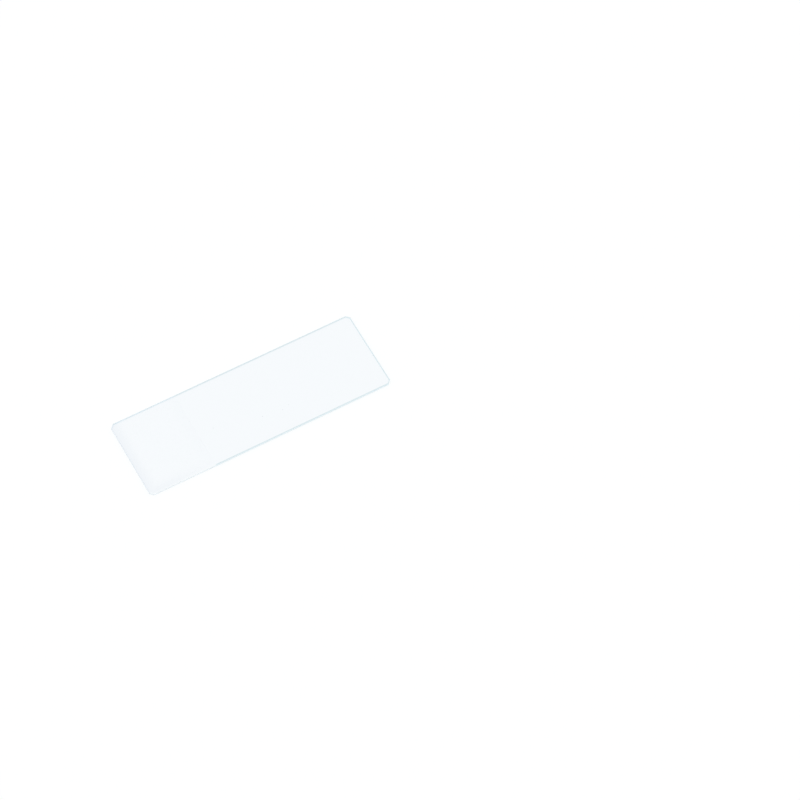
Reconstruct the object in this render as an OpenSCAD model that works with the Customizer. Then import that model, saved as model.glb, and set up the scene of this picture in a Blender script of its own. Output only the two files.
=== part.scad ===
// Microscope slide: one flat rectangular pane of clear glass, about three times as long as it is wide.
// It lies on its underside. X runs along its length from the frosted end at -X to the clear end at +X,
// Y runs across its width, and the origin is the centre of the underside.

/* [Glass pane] */
// Length, end to end
slide_length = 75; // [40:0.5:120]
// Width, long edge to long edge
slide_width = 25; // [12:0.5:60]
// Thickness of the glass
glass_thickness = 1; // [0.8:0.05:3]

/* [Ground rim] */
// Height and depth of the 45 degree bevel ground on the rim of both faces
edge_bevel = 0.2; // [0.05:0.01:0.35]
// Length that the 45 degree cut at each corner takes off both of its edges
corner_cut = 1; // [0.5:0.1:5]

/* [Frosted band] */
// Length of the frosted writing band, measured from the end of the slide
frost_length = 20; // [5:0.5:35]
// Depth of glass that the frosting takes off the upper face
frost_depth = 0.02; // [0.005:0.005:0.04]

/* [Hidden] */

// Span between the cuts at two opposite corners, measured square to both of them
corner_span = (slide_length + slide_width - 2 * corner_cut) / sqrt(2);
// Each bar runs past the pane on both sides by more than the pane's own diagonal
bar_run = 2 * (slide_length + slide_width);
// Tools that cut glass away start this far outside it
cut_clearance = 1;

glass_tint = [0.86, 0.95, 0.96, 0.45];

// The edge profile of the finished rim: both faces flat, both sides upright, all four arrises bevelled
module rim_profile(span) {
    side = span / 2;
    flat = side - edge_bevel;
    lower = edge_bevel;
    upper = glass_thickness - edge_bevel;
    polygon([
        [-side, lower], [-flat, 0], [flat, 0], [side, lower],
        [side, upper], [flat, glass_thickness], [-flat, glass_thickness], [-side, upper]
    ]);
}

// A long bar of glass that grinds two parallel sides of the rim, whose normals point along heading
module ground_bar(span, heading) {
    rotate([90, 0, heading])
        linear_extrude(height = bar_run, center = true)
            rim_profile(span);
}

// The bare pane. Four crossed bars share it: one for the ends, one for the long edges and two for the
// corner cuts, so neighbouring bevels meet in true mitres.
module ground_pane() {
    intersection() {
        ground_bar(slide_length, 0);
        ground_bar(slide_width, 90);
        ground_bar(corner_span, 45);
        ground_bar(corner_span, -45);
    }
}

// The skin of glass that frosting takes off the upper face, over the full width of the band
module frosting_cut() {
    translate([
        -slide_length / 2 - cut_clearance,
        -slide_width / 2 - cut_clearance,
        glass_thickness - frost_depth
    ])
        cube([
            frost_length + cut_clearance,
            slide_width + 2 * cut_clearance,
            frost_depth + cut_clearance
        ]);
}

// The whole slide in one piece of glass
module slide() {
    color(glass_tint)
        difference() {
            ground_pane();
            frosting_cut();
        }
}

slide();
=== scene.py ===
"""Microscope slide: the looks. One pane of soda-lime glass with a ground rim and a frosted band."""

import math

import bmesh
import bpy
from mathutils import Matrix, Vector, noise


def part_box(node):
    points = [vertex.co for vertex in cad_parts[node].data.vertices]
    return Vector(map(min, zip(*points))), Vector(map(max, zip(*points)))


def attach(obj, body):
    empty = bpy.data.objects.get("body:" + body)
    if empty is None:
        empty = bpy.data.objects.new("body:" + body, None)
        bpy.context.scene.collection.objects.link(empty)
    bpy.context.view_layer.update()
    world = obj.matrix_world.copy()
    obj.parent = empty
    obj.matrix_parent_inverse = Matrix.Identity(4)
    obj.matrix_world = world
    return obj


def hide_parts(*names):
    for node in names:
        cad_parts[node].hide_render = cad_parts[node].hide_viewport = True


MM = 0.001

# ---------------------------------------------------------------- the frame

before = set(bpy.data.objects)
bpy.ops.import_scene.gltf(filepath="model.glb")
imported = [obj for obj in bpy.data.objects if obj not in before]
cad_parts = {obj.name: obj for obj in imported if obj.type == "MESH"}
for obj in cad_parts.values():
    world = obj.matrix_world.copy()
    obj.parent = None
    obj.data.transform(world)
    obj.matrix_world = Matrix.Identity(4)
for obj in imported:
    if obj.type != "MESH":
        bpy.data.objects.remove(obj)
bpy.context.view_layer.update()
low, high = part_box("slide")
LENGTH = high.x - low.x
WIDTH = high.y - low.y
THICKNESS = high.z - low.z

# A corner of the CAD mesh this close to a face counts as on it
HAIR = 0.001 * MM


def cad_corners(test):
    """The corners of the CAD pane's mesh that pass a test."""
    return [v.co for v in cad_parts["slide"].data.vertices if test(v.co)]


# What the CAD pane says about its own rim and band
CLEAR_FACE = cad_corners(lambda p: p.z > high.z - HAIR)
CORNER_CUT = high.y - max(p.y for p in cad_corners(lambda p: p.x > high.x - HAIR))
BEVEL = high.y - max(p.y for p in CLEAR_FACE)
FROST_EDGE = min(p.x for p in CLEAR_FACE)
FROST_FLOOR = max(p.z for p in cad_corners(lambda p: p.z < high.z - HAIR))

# ---------------------------------------------------------------- the pane's mesh

# The rim's sides are counted anticlockwise from the clear end. The long ones are the far and the near side
SIDES = 8
LONG_SIDES = (2, 6)
RIM_STEP = 0.25 * MM

# How far the rim's lines and the frosting's edge stray. Near a corner the rim's lines come back to true over
# the mitre's length
BEVEL_WANDER = 0.04 * BEVEL
SIDE_WANDER = 0.0015 * MM
FROST_FUZZ = 0.03 * MM
MITRE = 0.6 * MM

# The straying's two waves: how many per millimetre, the layer of noise that each is from, and how strong the
# short one is beside the slow one
SLOW_WAVE = 0.12
SHORT_WAVE = 0.5
SLOW_LAYER = 0.3
SHORT_LAYER = 4.7
SHORT_SHARE = 0.4

# Spacing in the noise between sides and between lines, so that no two lines stray alike
SIDE_LANE = 5.3
LINE_LANE = 7.1
FROST_LINE = 9

SHARP_ANGLE = math.radians(25)


def side_normal(k):
    """Outward direction of side k of the rim, counted anticlockwise from the clear end."""
    turn = 2 * math.pi * k / SIDES
    return Vector((math.cos(turn), math.sin(turn), 0))


def side_reach(k):
    """Distance from the middle of the pane to side k."""
    corner_reach = (LENGTH / 2 + WIDTH / 2 - CORNER_CUT) / math.sqrt(2)
    return (LENGTH / 2, corner_reach, WIDTH / 2, corner_reach)[k % 4]


def rim_corner(k, inset):
    """Where side k meets side k + 1, both moved inwards by inset."""
    a, b = side_normal(k), side_normal(k + 1)
    p, q = side_reach(k) - inset, side_reach(k + 1) - inset
    cross = a.x * b.y - a.y * b.x
    return Vector(((p * b.y - q * a.y) / cross, (q * a.x - p * b.x) / cross, 0))


def wander(k, along, line):
    """How far a line strays from true: a slow drift with shorter waves on it, from about -1 to 1."""
    place = along / MM
    lane = k * SIDE_LANE + line * LINE_LANE
    slow = noise.noise(Vector((place * SLOW_WAVE, lane, SLOW_LAYER)))
    short = noise.noise(Vector((place * SHORT_WAVE, lane, SHORT_LAYER)))
    return slow + SHORT_SHARE * short


class Station:
    """One place along the rim, with the height and inset of each of the rim's lines there."""

    def __init__(self, k, share, on_frost_edge=False):
        self.k = k
        self.share = share
        self.on_frost_edge = on_frost_edge
        start, end = rim_corner(k - 1, 0), rim_corner(k, 0)
        self.span = (end - start).length
        self.x = start.lerp(end, share).x
        if on_frost_edge:
            self.x = FROST_EDGE
        to_corner = min(share, 1 - share) * self.span
        self.freedom = min(1.0, to_corner / MITRE)

    def stray(self, line, amount):
        """How far the line with this number strays here, none at a corner."""
        return amount * self.freedom * wander(self.k, self.share * self.span, line)

    def point(self, inset, stray, z):
        """The point at this station that lies inset from the rim, moved in by stray, at height z."""
        start, end = rim_corner(self.k - 1, inset), rim_corner(self.k, inset)
        p = start.lerp(end, self.share) - side_normal(self.k) * stray
        if self.on_frost_edge:
            p.x = FROST_EDGE
        p.z = z
        return p

    def set_back(self, line):
        """How far a line of the upright side stands in from the CAD pane's side, and never outside it."""
        return max(0.0, SIDE_WANDER + self.stray(line, SIDE_WANDER))

    def column(self):
        """Points up the rim: lower face, lower and upper line of the upright side, upper face."""
        return [
            self.point(BEVEL, self.stray(0, BEVEL_WANDER), 0),
            self.point(0, self.set_back(1), BEVEL + self.stray(2, BEVEL_WANDER)),
            self.point(0, self.set_back(3), THICKNESS - BEVEL + self.stray(4, BEVEL_WANDER)),
            self.point(BEVEL, self.stray(5, BEVEL_WANDER), THICKNESS),
        ]


def rim_stations():
    """Stations round the rim, with one exactly at each end of the frosting's edge."""
    stations = []
    for k in range(SIDES):
        start, end = rim_corner(k - 1, 0), rim_corner(k, 0)
        count = round((end - start).length / RIM_STEP)
        shares = [i / count for i in range(count)]
        edge_at = None
        if k in LONG_SIDES:
            crossing = (FROST_EDGE - start.x) / (end.x - start.x)
            edge_at = min(range(count), key=lambda i: abs(shares[i] - crossing))
            shares[edge_at] = crossing
        stations += [Station(k, share, i == edge_at) for i, share in enumerate(shares)]
    return stations


def frosted_point(side_top, face_edge):
    """Where the rim's upper bevel meets the floor of the frosted band."""
    rise = (FROST_FLOOR - side_top.z) / (face_edge.z - side_top.z)
    return side_top.lerp(face_edge, rise)


def build_pane():
    """The pane as one closed mesh: ground rim, polished faces and the frosted band's shallow floor."""
    bm = bmesh.new()
    stations = rim_stations()
    count = len(stations)
    lower, side_low, side_high, frosted, clear = [], [], [], [], []
    for station in stations:
        column = station.column()
        is_frosted = station.x < FROST_EDGE or station.on_frost_edge
        is_clear = station.x > FROST_EDGE or station.on_frost_edge
        lower.append(bm.verts.new(column[0]))
        side_low.append(bm.verts.new(column[1]))
        side_high.append(bm.verts.new(column[2]))
        frosted.append(bm.verts.new(frosted_point(column[2], column[3])) if is_frosted else None)
        clear.append(bm.verts.new(column[3]) if is_clear else None)

    for i in range(count):
        j = (i + 1) % count
        bm.faces.new((lower[i], lower[j], side_low[j], side_low[i]))
        bm.faces.new((side_low[i], side_low[j], side_high[j], side_high[i]))
        if frosted[i] and frosted[j]:
            bm.faces.new((side_high[i], side_high[j], frosted[j], frosted[i]))
        elif frosted[i]:
            bm.faces.new((side_high[i], side_high[j], clear[j], clear[i], frosted[i]))
        elif frosted[j]:
            bm.faces.new((side_high[i], side_high[j], frosted[j], clear[j], clear[i]))
        else:
            bm.faces.new((side_high[i], side_high[j], clear[j], clear[i]))
    bm.faces.new(lower[::-1])

    far, near = [i for i in range(count) if stations[i].on_frost_edge]
    floor_line, face_line = [frosted[near]], [clear[near]]
    start, end = frosted[near].co, frosted[far].co
    steps = round((end - start).length / RIM_STEP)
    for n in range(1, steps):
        y = start.y + (end.y - start.y) * n / steps
        x = FROST_EDGE + FROST_FUZZ * wander(0, y, FROST_LINE)
        floor_line.append(bm.verts.new((x, y, FROST_FLOOR)))
        face_line.append(bm.verts.new((x, y, THICKNESS)))
    floor_line.append(frosted[far])
    face_line.append(clear[far])
    for n in range(steps):
        bm.faces.new((floor_line[n + 1], floor_line[n], face_line[n], face_line[n + 1]))
    bm.faces.new(frosted[far:near] + floor_line[:-1])
    bm.faces.new(clear[near:] + clear[:far] + face_line[:0:-1])
    bmesh.ops.recalc_face_normals(bm, faces=bm.faces)

    mesh = bpy.data.meshes.new("glass_pane")
    bm.to_mesh(mesh)
    bm.free()
    mesh.set_sharp_from_angle(angle=SHARP_ANGLE)
    pane = bpy.data.objects.new("glass_pane", mesh)
    bpy.context.scene.collection.objects.link(pane)
    return pane


# ---------------------------------------------------------------- materials

WHITE = (1.0, 1.0, 1.0, 1.0)
GLASS_INDEX = 1.52
BODY_TINT = (0.30, 0.80, 0.92, 1.0)
BODY_DENSITY = 3.0

POLISHED_TINT = (0.9365, 0.955, 0.9705, 1.0)
FROSTED_TINT = (0.940, 0.957, 0.9725, 1.0)

# Tints of the rim's upright side and of its bevels. The bevels' dark teal is partly the ground glass's
# colour and partly painted shade, which darkens the rim's edge lines. The upright part of a normal tells
# them and the faces
# apart: it is a bevel's from BEVEL_FROM and a face's from FACE_FROM
SIDE_TINT = (0.92, 0.96, 0.965, 1.0)
BEVEL_TEAL_AND_SHADE = (0.61, 0.735, 0.775, 1.0)
BEVEL_FROM = 0.5
FACE_FROM = 0.95

# Round the frosted band the bevels' painted shade is paler. The end has one grey tint, partly the ground
# glass's colour and partly painted shade. The near side is left with neither tint nor painted shade
BAND_BEVEL_TEAL_AND_SHADE = (0.66, 0.79, 0.865, 1.0)
BAND_END_TINT_AND_SHADE = (0.84, 0.87, 0.93, 1.0)
BAND_NEAR_TINT = WHITE

# The frosted band is painted greyer, as painted shade, over these widths: towards its end, towards its near
# side next to that end, and a little, by a share of that, towards the clear glass
PAINTED_SHADE_TINT = (0.867, 0.894, 0.928, 1.0)
END_FADE = 3.8 * MM
NEAR_FADE = 3.8 * MM
NEAR_FADE_RUN = 24.0 * MM
EDGE_FADE = 4.0 * MM
EDGE_SHADE_SHARE = 0.2

FROSTED_ROUGHNESS = 0.24
GROUND_ROUGHNESS = 0.22
ROUGHNESS_SPREAD = 0.03

# The frosting's grain and the grinding wheel's marks on the rim: size, coarser size or run, and depth
GRAIN = 0.08 * MM
GRAIN_PATCH = 0.45 * MM
GRAIN_DEPTH = 0.0015 * MM
WHEEL_MARK = 0.05 * MM
WHEEL_MARK_RUN = 2.0 * MM
WHEEL_MARK_DEPTH = 0.0015 * MM
NOISE_DETAIL = 2.0

# The part that the second noise has in each relief
SECOND_SHARE = 0.35

# Specks of dust on the clear face: place along the slide, place across it, radius. They are darkest within
# the core, which is a share of the radius
SPECKS = (
    (0.8 * MM, -5.1 * MM, 0.20 * MM),
    (6.7 * MM, -5.9 * MM, 0.17 * MM),
    (8.9 * MM, -5.3 * MM, 0.14 * MM),
    (-12.9 * MM, -1.9 * MM, 0.18 * MM),
)
SPECK_TINT = (0.72, 0.76, 0.78, 1.0)
SPECK_CORE = 0.6


class Nodes:
    """A short way to build one node tree."""

    def __init__(self, owner):
        owner.use_nodes = True
        self.tree = owner.node_tree
        self.tree.nodes.clear()

    def add(self, kind, settings=None, **inputs):
        """A node with settings on itself, and inputs set to values or linked to other nodes' outputs."""
        node = self.tree.nodes.new(kind)
        for key, value in (settings or {}).items():
            setattr(node, key, value)
        for key, value in inputs.items():
            self.set(node, key.replace("_", " "), value)
        return node

    def set(self, node, key, value):
        socket = node.inputs[int(key) if key.isdigit() else key]
        if isinstance(value, bpy.types.NodeSocket):
            self.tree.links.new(value, socket)
        else:
            socket.default_value = value

    def maths(self, operation, *values):
        node = self.tree.nodes.new("ShaderNodeMath")
        node.operation = operation
        for i, value in enumerate(values):
            self.set(node, str(i), value)
        return node.outputs[0]

    def blend(self, factor, a, b):
        """A number that goes from a to b as factor goes from 0 to 1."""
        node = self.tree.nodes.new("ShaderNodeMix")
        self.set(node, "0", factor)
        self.set(node, "2", a)
        self.set(node, "3", b)
        return node.outputs[0]

    def tint(self, factor, a, b):
        """A colour that goes from a to b as factor goes from 0 to 1."""
        node = self.add("ShaderNodeMix", {"data_type": "RGBA"})
        self.set(node, "0", factor)
        self.set(node, "6", a)
        self.set(node, "7", b)
        return node.outputs[2]


def grain(n, place, run):
    """Noise from 0 to 1 with features of size run: a length, or three lengths along X, Y and Z."""
    lengths = Vector(run) if isinstance(run, tuple) else Vector((run, run, run))
    scaled = n.add("ShaderNodeVectorMath", {"operation": "DIVIDE"})
    n.set(scaled, "0", place)
    n.set(scaled, "1", lengths)
    noise_node = n.add("ShaderNodeTexNoise", Vector=scaled.outputs[0], Scale=1.0, Detail=NOISE_DETAIL)
    return noise_node.outputs["Fac"]


def fade(n, value, start, end):
    """A smooth step from 0 at start to 1 at end."""
    smooth = {"interpolation_type": "SMOOTHSTEP"}
    return n.add("ShaderNodeMapRange", smooth, Value=value, From_Min=start, From_Max=end).outputs[0]


def around(n, roughness, noise_value):
    """A roughness that strays to either side of its plain value with a noise from 0 to 1."""
    return n.blend(noise_value, roughness - ROUGHNESS_SPREAD, roughness + ROUGHNESS_SPREAD)


def speck_mask(n, place):
    """1 on the specks of dust and 0 elsewhere."""
    mask = 0.0
    for x, y, radius in SPECKS:
        distance = n.add("ShaderNodeVectorMath", {"operation": "DISTANCE"})
        n.set(distance, "0", place)
        n.set(distance, "1", Vector((x, y, THICKNESS)))
        mask = n.maths("MAXIMUM", mask, fade(n, distance.outputs["Value"], radius, SPECK_CORE * radius))
    return mask


def glass_material():
    """Pale soda-lime glass, polished on its faces, ground on its rim and frosted on its band, with painted
    shade on the rim's bevels, at the band's end and towards the band's edges.
    """
    material = bpy.data.materials.new("slide_glass")
    n = Nodes(material)
    out = n.add("ShaderNodeOutputMaterial")
    place = n.add("ShaderNodeTexCoord").outputs["Object"]
    axes = n.add("ShaderNodeSeparateXYZ", Vector=place).outputs
    geometry = n.add("ShaderNodeNewGeometry").outputs
    facing = n.add("ShaderNodeSeparateXYZ", Vector=geometry["True Normal"]).outputs
    tilt = n.maths("ABSOLUTE", facing["Z"])
    on_rim = n.maths("LESS_THAN", tilt, FACE_FROM)
    on_bevel = n.maths("GREATER_THAN", tilt, BEVEL_FROM)
    in_band = n.maths("LESS_THAN", axes["X"], FROST_EDGE + FROST_FUZZ)
    above_middle = n.maths("GREATER_THAN", axes["Z"], THICKNESS / 2)
    below_face = n.maths("LESS_THAN", axes["Z"], (FROST_FLOOR + THICKNESS) / 2)
    on_frost = n.maths("MULTIPLY", in_band, n.maths("MULTIPLY", above_middle, below_face))
    at_end = n.maths("LESS_THAN", axes["X"], CORNER_CUT - LENGTH / 2)
    at_near_side = n.maths("LESS_THAN", axes["Y"], CORNER_CUT - WIDTH / 2)
    at_near_band = n.maths("MULTIPLY", in_band, at_near_side)

    grit = grain(n, place, GRAIN)
    patches = grain(n, place, GRAIN_PATCH)
    marks = grain(n, place, (WHEEL_MARK_RUN, WHEEL_MARK_RUN, WHEEL_MARK))

    frost_rough = around(n, FROSTED_ROUGHNESS, patches)
    ground_rough = around(n, GROUND_ROUGHNESS, marks)
    rough = n.blend(on_rim, n.blend(on_frost, 0.0, frost_rough), ground_rough)

    # Painted shade: the frosted band darkens towards its end, its near side and the clear glass
    end_shade = fade(n, axes["X"], END_FADE - LENGTH / 2, -LENGTH / 2)
    near_shade = n.maths(
        "MULTIPLY",
        fade(n, axes["Y"], NEAR_FADE - WIDTH / 2, -WIDTH / 2),
        fade(n, axes["X"], NEAR_FADE_RUN - LENGTH / 2, -LENGTH / 2),
    )
    edge_shade = n.maths("MULTIPLY", EDGE_SHADE_SHARE, fade(n, axes["X"], FROST_EDGE - EDGE_FADE, FROST_EDGE))
    band_shade = n.maths("MAXIMUM", n.maths("MAXIMUM", end_shade, near_shade), edge_shade)
    frost_colour_and_shade = n.tint(band_shade, FROSTED_TINT, PAINTED_SHADE_TINT)
    face_colour = n.tint(speck_mask(n, place), POLISHED_TINT, SPECK_TINT)
    # Painted shade: the bevels and the band's end are darkened through their tints, together with the ground
    # glass's own teal
    ground_colour_and_shade = n.tint(on_bevel, SIDE_TINT, n.tint(in_band, BEVEL_TEAL_AND_SHADE, BAND_BEVEL_TEAL_AND_SHADE))
    rim_colour_and_shade = n.tint(at_near_band, n.tint(at_end, ground_colour_and_shade, BAND_END_TINT_AND_SHADE), BAND_NEAR_TINT)
    colour = n.tint(on_rim, n.tint(on_frost, face_colour, frost_colour_and_shade), rim_colour_and_shade)

    frost_relief = n.add(
        "ShaderNodeBump",
        Strength=on_frost,
        Distance=GRAIN_DEPTH,
        Height=n.blend(SECOND_SHARE, grit, patches),
    )
    relief = n.add(
        "ShaderNodeBump",
        Strength=on_rim,
        Distance=WHEEL_MARK_DEPTH,
        Height=n.blend(SECOND_SHARE, marks, grit),
        Normal=frost_relief.outputs[0],
    )
    glass = n.add(
        "ShaderNodeBsdfPrincipled",
        Base_Color=colour,
        Roughness=rough,
        IOR=GLASS_INDEX,
        Normal=relief.outputs[0],
        Transmission_Weight=1.0,
    )
    body = n.add("ShaderNodeVolumeAbsorption", Color=BODY_TINT, Density=BODY_DENSITY)
    n.set(out, "Surface", glass.outputs[0])
    n.set(out, "Volume", body.outputs[0])
    return material


# The floor's paint takes shadows, and its glow brings it up to white where it is seen
FLOOR_PAINT = (0.30, 0.30, 0.30, 1.0)
FLOOR_GLOW = 0.72


def floor_material():
    """A pale floor that shows white to the camera and in the glass, and takes the slide's soft shadow."""
    material = bpy.data.materials.new("studio_floor")
    material.cycles.emission_sampling = "NONE"
    n = Nodes(material)
    out = n.add("ShaderNodeOutputMaterial")
    rays = n.add("ShaderNodeLightPath").outputs
    in_glass = n.maths("MAXIMUM", rays["Is Glossy Ray"], rays["Is Transmission Ray"])
    seen = n.maths("MAXIMUM", rays["Is Camera Ray"], in_glass)
    paint = n.add("ShaderNodeBsdfDiffuse", Color=FLOOR_PAINT)
    glow = n.add("ShaderNodeEmission", Color=WHITE, Strength=n.maths("MULTIPLY", seen, FLOOR_GLOW))
    both = n.add("ShaderNodeAddShader")
    n.set(both, "0", paint.outputs[0])
    n.set(both, "1", glow.outputs[0])
    n.set(out, "Surface", both.outputs[0])
    return material


# ---------------------------------------------------------------- the studio

# The floor lies this far under the pane, so that the two don't share a plane
AIR_GAP = 0.02 * MM
FLOOR_SIZE = 4.0


def build_floor():
    mesh = bpy.data.meshes.new("floor")
    half = FLOOR_SIZE / 2
    corners = [(x * half, y * half, -AIR_GAP) for x, y in ((-1, -1), (1, -1), (1, 1), (-1, 1))]
    mesh.from_pydata(corners, [], [range(4)])
    floor = bpy.data.objects.new("floor", mesh)
    bpy.context.scene.collection.objects.link(floor)
    mesh.materials.append(floor_material())


def towards(azimuth, elevation):
    """The direction at an azimuth, anticlockwise from the front, and an elevation, both in degrees."""
    a, e = math.radians(azimuth), math.radians(elevation)
    return Vector((math.sin(a) * math.cos(e), -math.cos(a) * math.cos(e), math.sin(e)))


# What the glass sees around it: a dome that is brighter overhead, a bright side past the frosted end, and a
# dim side in front. A side's spread is in degrees
DOME_LOW = (0.72, 0.76, 0.79, 1.0)
DOME_HIGH = (1.06, 1.06, 1.06, 1.0)
BRIGHT_SIDE = (1.12, 1.13, 1.14, 1.0)
BRIGHT_WAY = towards(-92, 50)
BRIGHT_SPREAD = 50
DIM_SIDE = (0.66, 0.72, 0.77, 1.0)
DIM_WAY = towards(15, 20)
DIM_SPREAD = 60


def side_mask(n, way, toward, spread):
    """1 straight towards a side, down to 0 at spread degrees away from it."""
    dot = n.add("ShaderNodeVectorMath", {"operation": "DOT_PRODUCT"})
    n.set(dot, "0", way)
    n.set(dot, "1", toward)
    return fade(n, dot.outputs["Value"], math.cos(math.radians(spread)), 1.0)


def build_world():
    """Soft light from all round. The camera sees plain white behind the floor."""
    world = bpy.data.worlds.new("studio")
    world.cycles.sampling_method = "NONE"
    n = Nodes(world)
    out = n.add("ShaderNodeOutputWorld")
    way = n.add("ShaderNodeTexCoord").outputs["Generated"]
    height = n.add("ShaderNodeSeparateXYZ", Vector=way).outputs["Z"]
    dome = n.tint(height, DOME_LOW, DOME_HIGH)
    lit = n.tint(side_mask(n, way, BRIGHT_WAY, BRIGHT_SPREAD), dome, BRIGHT_SIDE)
    shaded = n.tint(side_mask(n, way, DIM_WAY, DIM_SPREAD), lit, DIM_SIDE)
    light = n.add("ShaderNodeBackground", Color=shaded)
    white = n.add("ShaderNodeBackground", Color=WHITE)
    rays = n.add("ShaderNodeLightPath").outputs
    mix = n.add("ShaderNodeMixShader")
    n.set(mix, "0", rays["Is Camera Ray"])
    n.set(mix, "1", light.outputs[0])
    n.set(mix, "2", white.outputs[0])
    n.set(out, "Surface", mix.outputs[0])
    bpy.context.scene.world = world


# The photograph's camera: its angles in degrees, its distance in metres, and its lens in millimetres
VIEW_AZIMUTH = -31.30
VIEW_ELEVATION = 60.09
VIEW_ROLL = 2.45
VIEW_DISTANCE = 0.9328
VIEW_LENS = 151.25
SENSOR_WIDTH = 36
CLIP_START = 0.01
AIM = Vector((LENGTH / 2 - 0.474 * MM, -WIDTH / 2 - 5.674 * MM, 0))


def build_camera():
    data = bpy.data.cameras.new("camera")
    data.lens = VIEW_LENS
    data.sensor_width = SENSOR_WIDTH
    data.clip_start = CLIP_START
    camera = bpy.data.objects.new("camera", data)
    back = towards(VIEW_AZIMUTH, VIEW_ELEVATION)
    camera.location = AIM + back * VIEW_DISTANCE
    upright = back.to_track_quat("Z", "Y").to_matrix()
    camera.rotation_euler = (upright @ Matrix.Rotation(math.radians(VIEW_ROLL), 3, "Z")).to_euler()
    bpy.context.scene.collection.objects.link(camera)
    bpy.context.scene.camera = camera


# Some of the light runs along inside the glass and leaves it only after many bounces
BOUNCES = 100

pane = build_pane()
pane.data.materials.append(glass_material())
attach(pane, "root")
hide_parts("slide")

build_floor()
build_world()
build_camera()

scene = bpy.context.scene
scene.view_settings.view_transform = "Standard"
scene.cycles.max_bounces = BOUNCES
scene.cycles.transmission_bounces = BOUNCES
scene.cycles.glossy_bounces = BOUNCES
scene.cycles.min_light_bounces = BOUNCES
scene.cycles.blur_glossy = 0.0
